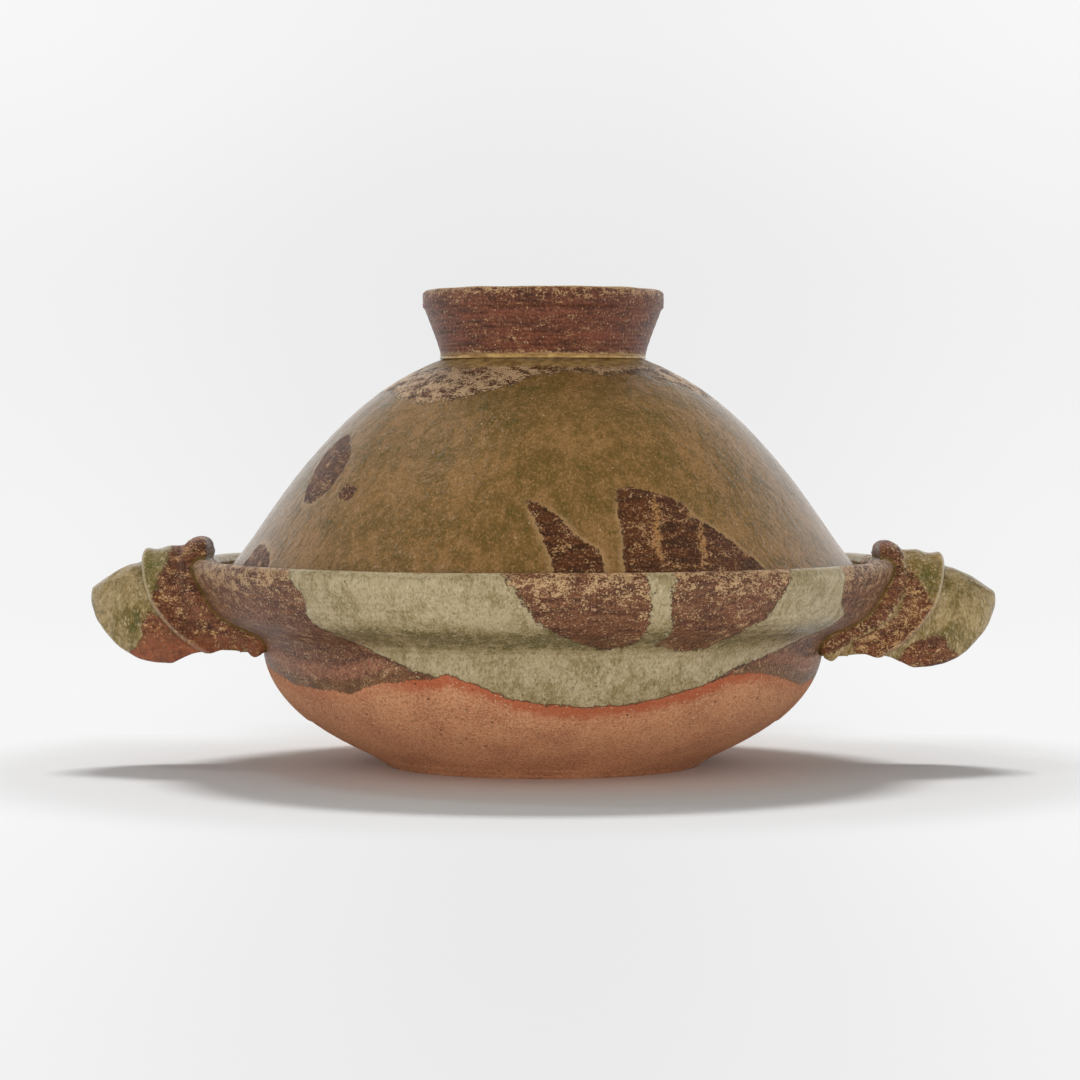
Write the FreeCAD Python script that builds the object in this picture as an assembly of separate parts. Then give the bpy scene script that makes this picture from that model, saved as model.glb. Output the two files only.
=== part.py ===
import FreeCAD, Part
import math
import os

# Earthenware hot pot: a thrown pot with two folded handles and a loose domed lid.
# Millimetres. +Z is up, the origin is on the floor under the pot's middle, and the handles lie along X.

# Pot: the foot and the belly
foot_radius = 62.5
foot_height = 1.6
foot_flare = 2.0             # how much wider the foot is at its top
foot_ring_width = 9.0        # the turned ring that the pot stands on
foot_recess = 1.8            # depth of the turned hollow inside the ring
bowl_wall = 8.5
floor_wall = 6.4             # the floor is thinner than the wall in its middle
floor_turn_inset = 16.5      # from the foot's radius in to where the floor begins to turn up
floor_turn_rise = 0.9
# The belly's outside, as shares of the way out and up from the foot's edge to the waist
belly_profile = [(0.361, 0.187), (0.670, 0.401), (0.924, 0.722)]

# Pot: the flared collar and its rim
rim_radius = 140.0
rim_height = 82.5
rim_wall = 7.6
collar_width = 28.2          # how far the rim stands out over the waist
collar_depth = 35.5          # from the rim's top down to the waist
# The collar's outside, as shares of the way out and up from the waist to the rim's side
collar_profile = [(0.415, 0.303), (0.738, 0.511), (0.908, 0.789)]
gallery_depth = 11.5         # from the rim's top down to the ledge that carries the lid
gallery_width = 10.5
gallery_under = 8.0          # thickness of the ledge at its inner edge
gallery_undercut = 1.5       # how far the ledge's underside starts behind its inner edge

# Lid: the knob, a flared ring like a foot
knob_root_radius = 40.6
knob_flare = 6.8             # how much wider the ring is just under the lip's band
knob_band_step = 1.0         # how far the band stands out
knob_band_height = 7.6
knob_height = 28.6           # from the neck to the ring's top
knob_wall = 6.4
knob_lip_drop = 1.9          # from the ring's top down to where its rounding starts
knob_band_undercut = 1.0     # the small step under the lip's band
knob_side_hollow = 0.2       # how far the ring's side bends in from a straight line
knob_cup_lean = 3.2          # the cup narrows by this much just below the band
knob_cup_drop = 3.0
knob_bed = 6.0               # how far the ring's profile is drawn on below the neck, before the dome trims it
knob_bed_taper = 0.6
joint_coil_width = 4.6       # the band of soft clay in the neck, outwards from the knob's root
joint_coil_height = 4.6
joint_coil_bite = 2.4        # how deep it is let into the ring's root
joint_coil_heel = 1.4        # how far below the neck its hollow face starts
joint_coil_waist = 0.4       # thickness over the root where the face is most hollow
joint_coil_top = 0.9         # thickness over the root at its top

# Lid: a dome that stands on the gallery
lid_gap = 3.0                # between the lid's edge and the rim's inside
lid_wall = 7.0
lid_edge_round = 2.2
dome_neck_height = 90.0      # over the seat
dome_neck_gap = 2.4          # the dome meets the neck this far outside the knob's root
dome_crown_rise = 6.5        # the closed crown inside the knob, over the neck
# The dome's outside, as shares of the way in and up from the lid's edge to the neck
dome_profile = [(0.1065, 0.160), (0.3032, 0.4267), (0.4977, 0.6533), (0.7523, 0.8711)]

# Lid: the steam hole, through the shoulder at the back
vent_diameter = 10.0
vent_from_edge = 51.4

# Handles: the hood
handle_reach = 41.9          # past the rim
handle_tip_drop = 14.1       # from the rim's height down to the tip
handle_top_rise = 1.1        # the hood's top line over the rim's height, where it leaves the rim
handle_depth = 44.4          # from the top line down to the hood's lower edges
handle_half_width = 22.5
handle_wall = 7.0
lip_round = 3.4              # the soft lower lips of the hood
hollow_short = 9.0           # how much sooner the hollow ends than the wall alone would let it
hollow_drop = 40.0           # how far the hollow is drawn on below the lower edges, to cut right through
hood_root_depth = 1.8        # how far inside the waist's radius the hood's outline starts
arch_radius = 40.0           # the finger arch in the lower edges
arch_rise = 5.4              # its crown over the lower edges
arch_inset = 13.5            # its middle, inwards from the rim's radius
arch_run_drop = 0.8          # from the arch's crown down to the straight run that leads on to the pot

# Where each line of the hood starts to close, as a share of the way to the tip, then its power and root
hood_top_closing = (0.42, 2.0, 1.05)
hood_edge_closing = (0.56, 2.0, 1.6)
hood_side_closing = (0.28, 2.4, 1.9)
hood_blunt = 0.985           # share of the way at which the tip is cut blunt
hood_stations = 7
# The hood's section, as shares of its half width and height: lower edge, widest place and haunch
hood_section_shape = [(0.95, 0.0), (1.0, 0.38), (0.74, 0.81)]

# Handles: the wrap and the root coil
wrap_thickness = 3.2
wrap_round = 1.4             # rounding along the wrap's free edge
coil_thickness = 3.4
coil_drop = 4.0              # how far the coil goes below the hood's lower edges
rim_cover = 1.0              # the hood and the wrap stop this far outside the rim's top line
coil_lip_overhang = 6.2      # how far the coil reaches in over the rim
coil_nose = 4.0              # rounding of the coil's inner end, over the rim
# Their free edges in the side view, as shares of the handle's reach past the rim and of its depth
wrap_outline = [(0.468, 1.369), (0.463, 0.919), (0.425, 0.739), (0.353, 0.559), (0.222, 0.390),
                (0.091, 0.266), (-0.060, 0.164), (-0.334, 0.018)]
coil_outline = [(-0.215, 1.212), (-0.060, 1.153), (0.033, 1.113), (0.086, 1.032), (0.100, 0.896),
                (0.079, 0.739), (0.012, 0.570), (-0.179, 0.367), (-0.370, 0.266), (-0.501, 0.176),
                (-0.558, 0.104), (-0.632, 0.054), (-0.709, 0.099), (-0.776, 0.198)]

# The left handle sits a little higher than the right
left_lift = 1.6

touch = 0.01                 # points nearer than this count as lying on a face
past = 100.0                 # how far the cutting shapes reach past what they cut

vertical = FreeCAD.Vector(0, 0, 1)
centre = FreeCAD.Vector(0, 0, 0)

waist_radius = rim_radius - collar_width
waist_height = rim_height - collar_depth
gallery_height = rim_height - gallery_depth
gallery_outer = rim_radius - rim_wall
gallery_inner = gallery_outer - gallery_width
lid_radius = gallery_outer - lid_gap
neck_height = gallery_height + dome_neck_height
knob_band_radius = knob_root_radius + knob_flare
knob_lip_radius = knob_band_radius + knob_band_step
handle_end = rim_radius + handle_reach
handle_top = rim_height + handle_top_rise
handle_bottom = handle_top - handle_depth
handle_root = waist_radius - hood_root_depth


def at(radius, height):
    """A point of a profile, on the +X side."""
    return FreeCAD.Vector(radius, 0, height)


def along(shares, first, last):
    """Points at shares of the way from one point to another, outwards and upwards."""
    return [at(first.x + (last.x - first.x) * out, first.z + (last.z - first.z) * up) for out, up in shares]


def curve(points, start=None, end=None):
    """A smooth curve through the points, with set directions at its ends where they are given."""
    spline = Part.BSplineCurve()
    if start is None or end is None:
        spline.interpolate(points)
    else:
        spline.interpolate(points, InitialTangent=start, FinalTangent=end)
    return spline


def inset(spline, points, depth):
    """The points moved by depth square to the curve, to its left when looking along it."""
    moved = []
    for point in points:
        direction = spline.tangent(spline.parameter(point))[0]
        left = FreeCAD.Vector(-direction.z, 0, direction.x)
        moved.append(point + left * depth)
    return moved


def line(first, second):
    return Part.LineSegment(first, second).toShape()


def arc(first, middle, last):
    return Part.Arc(first, middle, last).toShape()


def turned(edges):
    """A solid turned round the pot's axis from a closed profile."""
    face = Part.Face(Part.Wire(edges))
    return face.revolve(centre, vertical, 360)


def keep(name, shape):
    """Writes one piece and prints what it is."""
    shape = shape.removeSplitter()
    shape.exportStep("parts/" + name + ".step")
    box = shape.BoundBox
    print(name, "solids", len(shape.Solids), "valid", shape.isValid(), "volume", round(shape.Volume),
          "x", round(box.XMin, 1), round(box.XMax, 1), "y", round(box.YMin, 1), round(box.YMax, 1),
          "z", round(box.ZMin, 1), round(box.ZMax, 1))
    return shape


# The pot

foot_edge = at(foot_radius + foot_flare, foot_height)
waist = at(waist_radius, waist_height)
rim_side = at(rim_radius, rim_height - rim_wall / 2)
belly_points = [foot_edge] + along(belly_profile, foot_edge, waist) + [waist]
belly = curve(belly_points)
collar_points = [waist] + along(collar_profile, waist, rim_side) + [rim_side]
collar = curve(collar_points, start=FreeCAD.Vector(0.2, 0, 1), end=FreeCAD.Vector(0.1, 0, 1))


def pot_outside():
    """The outside edges, from the foot up to the rim's outer side."""
    return [line(at(foot_radius, 0), foot_edge), belly.toShape(), collar.toShape()]


def pot_envelope():
    """The pot filled solid up to its rim, which trims whatever is laid against its outside."""
    top = rim_height - rim_wall / 2
    rim = arc(rim_side, at(rim_radius - rim_wall / 2, rim_height), at(rim_radius - rim_wall, top))
    close = [line(at(rim_radius - rim_wall, top), at(0, top)), line(at(0, top), at(0, 0)),
             line(at(0, 0), at(foot_radius, 0))]
    return turned(pot_outside() + [rim] + close)


def pot_bowl():
    top = rim_height - rim_wall / 2
    rim_inside = at(gallery_outer, top)
    rim = arc(rim_side, at(rim_radius - rim_wall / 2, rim_height), rim_inside)
    ledge_lip = at(gallery_inner, gallery_height)
    ledge_under = at(gallery_inner - gallery_undercut, gallery_height - gallery_under)
    belly_inside = inset(belly, belly_points[1:], bowl_wall)
    floor = at(0, foot_height + floor_wall)
    floor_turn = at(foot_radius - floor_turn_inset, foot_height + floor_wall + floor_turn_rise)
    inside = curve([ledge_under] + belly_inside[::-1] + [floor_turn, floor],
                   start=FreeCAD.Vector(-0.5, 0, -1), end=FreeCAD.Vector(-1, 0, 0))
    ring_inner = foot_radius - foot_ring_width
    recess_edge = at(ring_inner - foot_recess, foot_recess)
    edges = pot_outside() + [
        rim,
        line(rim_inside, at(gallery_outer, gallery_height)),
        line(at(gallery_outer, gallery_height), ledge_lip),
        line(ledge_lip, ledge_under),
        inside.toShape(),
        line(floor, at(0, foot_recess)),
        line(at(0, foot_recess), recess_edge),
        line(recess_edge, at(ring_inner, 0)),
        line(at(ring_inner, 0), at(foot_radius, 0)),
    ]
    return turned(edges)


# The lid

lid_corner = at(lid_radius, gallery_height + lid_edge_round)
neck = at(knob_root_radius + dome_neck_gap, neck_height)
lid_edge = at(lid_radius, gallery_height)
crown = at(0, neck_height + dome_crown_rise)
dome_points = [lid_corner] + along(dome_profile, lid_edge, neck) + [neck, crown]
dome = curve(dome_points, start=FreeCAD.Vector(-0.7, 0, 1), end=FreeCAD.Vector(-1, 0, 0))


def dome_envelope():
    """The dome filled solid, which trims the knob and the coil that are laid on it."""
    return turned([dome.toShape(), line(dome_points[-1], at(0, gallery_height)),
                   line(at(0, gallery_height), lid_edge), line(lid_edge, lid_corner)])


def lid_dome():
    diagonal = lid_edge_round * (1 - math.sqrt(0.5))
    seat_outer = at(lid_radius - lid_edge_round, gallery_height)
    edge = arc(seat_outer, at(lid_radius - diagonal, gallery_height + diagonal), lid_corner)
    inner_points = inset(dome, dome_points[1:], lid_wall)
    seat_inner = at(lid_radius - lid_wall - lid_edge_round / 2, gallery_height)
    inside = curve(inner_points[::-1] + [seat_inner])
    shell = turned([edge, dome.toShape(), line(dome_points[-1], inner_points[-1]), inside.toShape(),
                    line(seat_inner, seat_outer)])
    vent = Part.makeCylinder(vent_diameter / 2, dome_neck_height,
                             FreeCAD.Vector(0, lid_radius - vent_from_edge, gallery_height))
    return shell.cut(vent)


def lid_knob_joint_coil(trim):
    """A band of clay with a hollow face, let into the neck between the dome and the knob."""
    bed = neck_height - knob_bed
    top = neck_height + joint_coil_height
    outer = at(knob_root_radius + joint_coil_width, bed)
    start = at(knob_root_radius + joint_coil_width, neck_height - joint_coil_heel)
    middle = at(knob_root_radius + joint_coil_waist, neck_height + joint_coil_heel)
    end = at(knob_root_radius + joint_coil_top, top)
    inner = knob_root_radius - joint_coil_bite
    band = turned([line(outer, start), arc(start, middle, end), line(end, at(inner, top)),
                   line(at(inner, top), at(inner, bed)), line(at(inner, bed), outer)])
    return band.cut(trim)


def lid_knob_ring(trim, joint_coil):
    """The flared ring, like a foot turned upside down, with a plain band under its lip."""
    top = neck_height + knob_height
    band = top - knob_band_height
    bed = neck_height - knob_bed
    root_outer = at(knob_root_radius - knob_bed_taper, bed)
    root_inner = at(knob_root_radius - knob_wall, bed)
    band_under = at(knob_band_radius, band - knob_band_undercut)
    side_radius = (knob_root_radius + knob_band_radius) / 2 - knob_side_hollow
    outside = curve([root_outer, at(knob_root_radius, neck_height),
                     at(side_radius, (neck_height + band) / 2), band_under])
    band_foot = at(knob_lip_radius, band)
    lip = knob_lip_radius - knob_wall
    round_start = at(knob_lip_radius, top - knob_lip_drop)
    round_end = at(lip, top - knob_lip_drop)
    inside = curve([round_end, at(lip - knob_cup_lean, band - knob_cup_drop), root_inner])
    ring = turned([
        outside.toShape(),
        line(band_under, band_foot),
        line(band_foot, round_start),
        arc(round_start, at(knob_lip_radius - knob_wall / 2, top), round_end),
        inside.toShape(),
        line(root_inner, root_outer),
    ])
    return ring.cut(trim).cut(joint_coil)


# The handles, drawn on the +X side

def fullness(share, line_closing):
    """How much of its full size an outline still has, at a share of the way to the tip."""
    closes_at, power, root = line_closing
    closing = max(0.0, (share - closes_at) / (1 - closes_at))
    return (1 - closing ** power) ** (1 / root)


def hood_section(x, grow, drop, reach_cut):
    """One arched section of the hood, grown outwards all round and drawn on downwards."""
    end_x = handle_end + grow - reach_cut
    share = (x - handle_root) / (end_x - handle_root)
    tip = rim_height - handle_tip_drop
    top = tip + (handle_top + grow - tip) * fullness(share, hood_top_closing)
    bottom = tip - (tip - handle_bottom) * fullness(share, hood_edge_closing)
    half = (handle_half_width + grow) * fullness(share, hood_side_closing)
    tall = top - bottom
    lip = lip_round * half / (handle_half_width + grow)
    edge, widest, haunch = [(half * out, bottom + tall * up) for out, up in hood_section_shape]
    slack = lip * (1 - math.sqrt(0.5))
    side = edge[0]
    right = [(side - lip, bottom), (side - slack, bottom + slack), (side, bottom + lip), widest, haunch]
    points = [FreeCAD.Vector(x, -y, z) for y, z in right]
    points.append(FreeCAD.Vector(x, 0, top))
    points += [FreeCAD.Vector(x, y, z) for y, z in reversed(right)]
    edges = [curve(points).toShape()]
    if drop:
        down = FreeCAD.Vector(0, 0, -drop)
        edges += [line(points[-1], points[-1] + down), line(points[-1] + down, points[0] + down),
                  line(points[0] + down, points[0])]
    else:
        edges.append(line(points[-1], points[0]))
    return Part.Wire(edges)


def hood(grow=0.0, drop=0.0, reach_cut=0.0):
    """The handle's arched body, filled, from inside the pot to the blunt tip."""
    long = (handle_end + grow - reach_cut - handle_root) * hood_blunt
    sections = []
    for step in range(hood_stations):
        turn = step / (hood_stations - 1) * math.pi / 2
        sections.append(hood_section(handle_root + long * math.sin(turn), grow, drop, reach_cut))
    return Part.makeLoft(sections, True, False)


def side_block(outline):
    """Everything on the pot's side of an outline drawn in the side view, as a block across the handle."""
    points = [at(rim_radius + out * handle_reach, handle_bottom + up * handle_depth) for out, up in outline]
    behind = rim_radius - past
    corners = [points[-1], at(behind, points[-1].z), at(behind, points[0].z), points[0]]
    sides = [line(first, second) for first, second in zip(corners, corners[1:])]
    face = Part.Face(Part.Wire([curve(points).toShape()] + sides))
    face.translate(FreeCAD.Vector(0, -past, 0))
    return face.extrude(FreeCAD.Vector(0, 2 * past, 0))


def rounded(shape, radius, chosen):
    """Rounds each edge whose every point passes the test."""
    edges = []
    for edge in shape.Edges:
        if all(chosen(point) for point in edge.discretize(hood_stations)):
            edges.append(edge)
    return shape.makeFillet(radius, edges)


def on_outline(block, point):
    """Whether a point lies on the curved side of a side block."""
    return block.Faces[0].distToShape(Part.Vertex(point))[0] < touch


def coil_nose_cutter():
    """What lies inside the coil's inner end: a turned block whose side leans out at the top."""
    reach = rim_radius - coil_lip_overhang
    foot = rim_height - rim_wall
    top = handle_top + wrap_thickness + coil_thickness
    bend = coil_nose * (1 - math.sqrt(0.5))
    return turned([
        line(at(reach, foot), at(reach, top - coil_nose)),
        arc(at(reach, top - coil_nose), at(reach + bend, top - bend), at(reach + coil_nose, top)),
        line(at(reach + coil_nose, top), at(reach + coil_nose, top + past)),
        line(at(reach + coil_nose, top + past), at(0, top + past)),
        line(at(0, top + past), at(0, foot)),
        line(at(0, foot), at(reach, foot)),
    ])


def handle_clays():
    """The hood, the wrap and the root coil of a handle, still drawn on into the pot."""
    inside_rim = Part.makeCylinder(rim_radius - rim_wall / 2 + rim_cover, past,
                                   FreeCAD.Vector(0, 0, collar_points[-2].z))
    arch_x = rim_radius - arch_inset
    arch_height = handle_bottom + arch_rise
    arch = Part.makeCylinder(arch_radius, 2 * past, FreeCAD.Vector(arch_x, -past, arch_height - arch_radius),
                             FreeCAD.Vector(0, 1, 0))
    under = Part.makeBox(past, 2 * past, arch_height - arch_run_drop, FreeCAD.Vector(arch_x - past, -past, 0))
    arch = arch.fuse(under)
    hollow = hood(grow=-handle_wall, drop=hollow_drop, reach_cut=hollow_short)

    inner = hood().cut(inside_rim)
    outer = hood(grow=wrap_thickness)
    wrap_block = side_block(wrap_outline)
    wrap_body = rounded(outer.common(wrap_block), wrap_round, lambda point: on_outline(wrap_block, point))
    coil_body = hood(grow=wrap_thickness + coil_thickness, drop=coil_drop).common(side_block(coil_outline))

    hood_clay = inner.cut(hollow).cut(arch)
    wrap_clay = wrap_body.cut(inside_rim).cut(inner).cut(hollow).cut(arch)
    coil_clay = coil_body.cut(coil_nose_cutter()).cut(outer.cut(inside_rim)).cut(hollow)
    return hood_clay, wrap_clay, coil_clay


os.makedirs("parts", exist_ok=True)

keep("pot_bowl", pot_bowl())
keep("lid_dome", lid_dome())
dome_trim = dome_envelope()
joint_coil = lid_knob_joint_coil(dome_trim)
keep("lid_knob_joint_coil", joint_coil)
keep("lid_knob_ring", lid_knob_ring(dome_trim, joint_coil))

clays = [clay.copy() for clay in handle_clays()]
raised_clays = [clay.copy().translated(FreeCAD.Vector(0, 0, left_lift)) for clay in clays]
for name, clay, raised in zip(("hood", "wrap", "root_coil"), clays, raised_clays):
    keep("handle_right_" + name, clay.cut(pot_envelope()))
    left = raised.cut(pot_envelope())
    keep("handle_left_" + name, left.mirror(centre, FreeCAD.Vector(1, 0, 0)))
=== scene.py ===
# %% [markdown]
# # An earthenware hot pot
# This lesson dresses a finished construction model of a hot pot. The construction comes in as a
# fixed frame: every piece already stands at its real size, so nothing here is moved or resized.
# What Blender adds is what a potter's hands and the kiln leave behind: the wavering wall, the
# throwing lines, three kinds of fired surface, and the soft edges of clay that was folded wet.

# %% Load the frame
import math

import bmesh
import bpy
import numpy as np
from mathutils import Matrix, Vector, noise
from mathutils.bvhtree import BVHTree


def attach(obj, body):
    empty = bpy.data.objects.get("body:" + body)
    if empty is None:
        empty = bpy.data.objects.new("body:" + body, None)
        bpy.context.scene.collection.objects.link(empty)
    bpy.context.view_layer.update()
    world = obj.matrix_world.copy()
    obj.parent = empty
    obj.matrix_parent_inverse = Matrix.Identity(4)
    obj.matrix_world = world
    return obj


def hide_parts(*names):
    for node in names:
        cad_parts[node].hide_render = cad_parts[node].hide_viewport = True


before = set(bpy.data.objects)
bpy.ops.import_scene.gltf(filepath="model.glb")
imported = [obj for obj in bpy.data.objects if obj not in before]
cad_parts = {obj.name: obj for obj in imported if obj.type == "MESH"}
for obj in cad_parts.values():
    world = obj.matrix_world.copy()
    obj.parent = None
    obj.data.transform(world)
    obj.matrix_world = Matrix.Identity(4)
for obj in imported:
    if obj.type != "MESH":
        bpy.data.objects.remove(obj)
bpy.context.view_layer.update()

# %% [markdown]
# ## The camera
# The photograph was taken from low down and far off, which keeps the ellipses of the rim and the
# foot thin. The eye's distance and height were worked out from how much those ellipses open.
# A long lens aimed slightly down gives the same picture with no shift.

# %% Set up the camera
mm = 0.001
eye_distance = 1.404
eye_height = 0.1394
aim_height = 0.0894
sideways = -0.0012
field_of_view = math.radians(17.49)

camera_data = bpy.data.cameras.new("camera")
camera_data.sensor_width = 36.0
camera_data.angle = field_of_view
camera = bpy.data.objects.new("camera", camera_data)
bpy.context.scene.collection.objects.link(camera)
camera.location = (sideways, -eye_distance, eye_height)
aim = Vector((sideways, 0, aim_height)) - camera.location
camera.rotation_euler = aim.to_track_quat("-Z", "Y").to_euler()
bpy.context.scene.camera = camera
bpy.context.scene.view_settings.view_transform = "Standard"
print("lens, mm:", round(camera_data.lens, 1))

# %% [markdown]
# ## A small hand for node trees
# Every material below is laid out by code. These helpers add to the node tree that the name
# tree stands for at that moment, feed each input with a number, a colour or another node's
# output, and hand back the output that is wanted. Colours are written as they are read off a
# screen, from 0 to 255, and sizes in millimetres.

# %% Node helpers
def srgb(red, green, blue):
    """A colour from 0 to 255 as the linear colour that shaders use."""
    shares = [part / 255.0 for part in (red, green, blue)]
    return (*[part / 12.92 if part <= 0.04045 else ((part + 0.055) / 1.055) ** 2.4 for part in shares], 1.0)


def feed(socket, value):
    """Links an output to an input, or writes a plain value into it."""
    if isinstance(value, bpy.types.NodeSocket):
        tree.links.new(value, socket)
    elif socket.type == "RGBA" and len(value) == 3:
        socket.default_value = srgb(*value)
    else:
        socket.default_value = value


def put(kind, settings=None, **values):
    """Adds a node. Settings are its properties, and the other words are its inputs."""
    node = tree.nodes.new("ShaderNode" + kind)
    for name, value in (settings or {}).items():
        setattr(node, name, value)
    for name, value in values.items():
        feed(node.inputs[name.replace("_", " ")], value)
    return node


def mix(kind, first_input, factor, first, second):
    """A Mix node, whose inputs for numbers start at 2 and those for colours at 6."""
    node = put("Mix", {"data_type": kind})
    for place, value in ((0, factor), (first_input, first), (first_input + 1, second)):
        feed(node.inputs[place], value)
    return node.outputs[2 if kind == "RGBA" else 0]


def between(factor, first, second):
    """Mixes two numbers."""
    return mix("FLOAT", 2, factor, first, second)


def blend(factor, first, second):
    """Mixes two colours."""
    return mix("RGBA", 6, factor, first, second)


def maths(operation, *values, clamp=False):
    node = put("Math", {"operation": operation, "use_clamp": clamp})
    for socket, value in zip(node.inputs, values):
        feed(socket, value)
    return node.outputs[0]


def times(first, second):
    return maths("MULTIPLY", first, second)


def times_plus(first, second, added, clamp=False):
    """The first times the second, and then plus the third."""
    return maths("MULTIPLY_ADD", first, second, added, clamp=clamp)


def sway(noise_value, amount, start, clamp=False):
    """Moves a value up and down by noise that lies around a half."""
    return times_plus(maths("SUBTRACT", noise_value, 0.5), amount, start, clamp)


def tint(colour, mask, strength, other):
    """Lays another colour over a colour, where the mask is and at most at the given strength."""
    return blend(times(mask, strength), colour, other)


def ramp(value, low, high, at_low=0.0, at_high=1.0):
    """A soft step from at_low to at_high as the value goes from low to high."""
    return put(
        "MapRange", {"interpolation_type": "SMOOTHSTEP"}, Value=value, From_Min=low, From_Max=high,
        To_Min=at_low, To_Max=at_high).outputs["Result"]


def millimetres(stretch=(1, 1, 1)):
    """The place on the piece, in millimetres, optionally squeezed along an axis."""
    place = put("TexCoord").outputs["Object"]
    return put("Mapping", Vector=place, Scale=[1000.0 * share for share in stretch]).outputs["Vector"]


def cloud(place, size, detail, rough=0.5, twist=0.0):
    """Noise whose blotches are about size millimetres across."""
    return put(
        "TexNoise", Vector=place, Scale=1.0 / size, Detail=detail, Roughness=rough,
        Distortion=twist).outputs["Fac"]


def choose(mask, first, second):
    """Mixes two shaders."""
    node = put("MixShader")
    for socket, value in zip(node.inputs, (mask, first, second)):
        feed(socket, value)
    return node.outputs[0]


# %% Group helpers
def new_group(name, inputs, outputs):
    """An empty shader node group with named sockets. An input is a colour when its value is a triple."""
    group = bpy.data.node_groups.new(name, "ShaderNodeTree")
    for label, value in inputs.items():
        kind, start = ("Color", srgb(*value)) if isinstance(value, tuple) else ("Float", value)
        group.interface.new_socket(
            name=label, in_out="INPUT", socket_type="NodeSocket" + kind).default_value = start
    for label, kind in outputs.items():
        group.interface.new_socket(name=label, in_out="OUTPUT", socket_type="NodeSocket" + kind)
    return group, group.nodes.new("NodeGroupInput").outputs, group.nodes.new("NodeGroupOutput").inputs


def give(result, **values):
    """Feeds the outputs of the group that is being made."""
    for name, value in values.items():
        feed(result[name], value)
    print("group:", tree.name)


def place_group(group, **values):
    """Puts a group into the tree, with its own values."""
    return put("Group", {"node_tree": group}, **values).outputs


surface_outputs = {"Colour": "Color", "Roughness": "Float", "Height": "Float"}

# %% [markdown]
# ## Ragged edge
# Glaze that was poured from a ladle ends in a line that wavers over centimetres and frays over
# a millimetre, where it ran into the sandy clay. Each piece carries how far every point lies
# inside an outline, as a plain number in millimetres. The group shakes that number with two
# sizes of noise before it cuts it, so that one smooth outline gives a natural edge.

# %% Group: ragged edge
ragged_edge, given, result = new_group(
    "Ragged edge", {"Distance": 0.0, "Wobble": 1.5, "Fray": 1.0, "Softness": 0.25, "Band": 2.0},
    {"Inside": "Float", "Edge": "Float"})
tree = ragged_edge
wide = maths("SUBTRACT", cloud(millimetres(), 11.0, 2.0), 0.5)
fine = maths("SUBTRACT", cloud(millimetres(), 1.7, 5.0, 0.65), 0.5)
shaken = times_plus(wide, times(given["Wobble"], 2.0), given["Distance"])
shaken = times_plus(fine, times(given["Fray"], 4.0), shaken)
inside = ramp(shaken, times(given["Softness"], -1.0), given["Softness"])
give(result, Inside=inside, Edge=ramp(maths("ABSOLUTE", shaken), 0.0, given["Band"], 1.0, 0.0))

# %% [markdown]
# ## Grains
# Sand in the clay shows through everything. Each grain is the middle of a small cell, and only
# some cells are picked, so the grains lie scattered and not in rows.

# %% Group: grains
grains, given, result = new_group(
    "Grains", {"Spacing": 1.3, "Share": 0.3, "Radius": 0.35}, {"Grain": "Float"})
tree = grains
cells = put(
    "TexVoronoi", {"feature": "F1"}, Vector=millimetres(), Scale=maths("DIVIDE", 1.0, given["Spacing"]),
    Randomness=1.0)
pick = put("SeparateColor", Color=cells.outputs["Color"]).outputs
size = times(given["Radius"], ramp(pick["Green"], 0.0, 1.0, 0.6, 1.3))
near = ramp(maths("DIVIDE", cells.outputs["Distance"], size), 0.55, 1.0, 1.0, 0.0)
give(result, Grain=times(near, maths("LESS_THAN", pick["Red"], given["Share"])))

# %% [markdown]
# ## Bare clay
# Below the glaze line the clay is bare. It is full of sand, so it has pale and dark grains
# about a millimetre across, a dry surface, and a warm flush where salts from the glaze
# reached it in the kiln. The grains both colour the surface and raise it.

# %% Group: bare clay
bare_clay, given, result = new_group(
    "Bare clay",
    {"Clay": (209, 148, 106), "Shade": (190, 129, 92), "Flush Colour": (176, 80, 46), "Flush": 0.0},
    surface_outputs)
tree = bare_clay
place = millimetres()
broad = cloud(place, 20.0, 3.0)
grain = cloud(place, 0.95, 4.0, 0.7)
pale_grain = place_group(grains, Spacing=1.2, Share=0.36, Radius=0.30)["Grain"]
dark_grain = place_group(grains, Spacing=2.4, Share=0.12, Radius=0.20)["Grain"]
colour = blend(ramp(broad, 0.35, 0.68), given["Clay"], given["Shade"])
colour = tint(colour, ramp(grain, 0.48, 0.62), 0.55, (224, 174, 134))
colour = tint(colour, ramp(grain, 0.49, 0.36), 0.55, (126, 76, 50))
colour = blend(given["Flush"], colour, blend(0.72, colour, given["Flush Colour"]))
colour = tint(colour, pale_grain, 0.75, (236, 200, 164))
colour = tint(colour, dark_grain, 0.85, (70, 42, 30))
height = times_plus(pale_grain, 0.7, times(grain, 1.6))
give(
    result, Colour=colour, Roughness=ramp(grain, 0.3, 0.7, 0.92, 0.74),
    Height=times_plus(dark_grain, -0.5, height))

# %% [markdown]
# ## Iron glaze
# The brown is a thin iron glaze over the same sandy clay. It lies in bands that the wheel drew
# out, darker and redder by turns. Where it is thin it breaks to mustard, in flecks that crowd
# together in clusters. Freckles says how much of it has broken, from nothing to nearly all,
# and Cluster how large the clusters are. Sand sets how many pale grains stick through.

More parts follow.
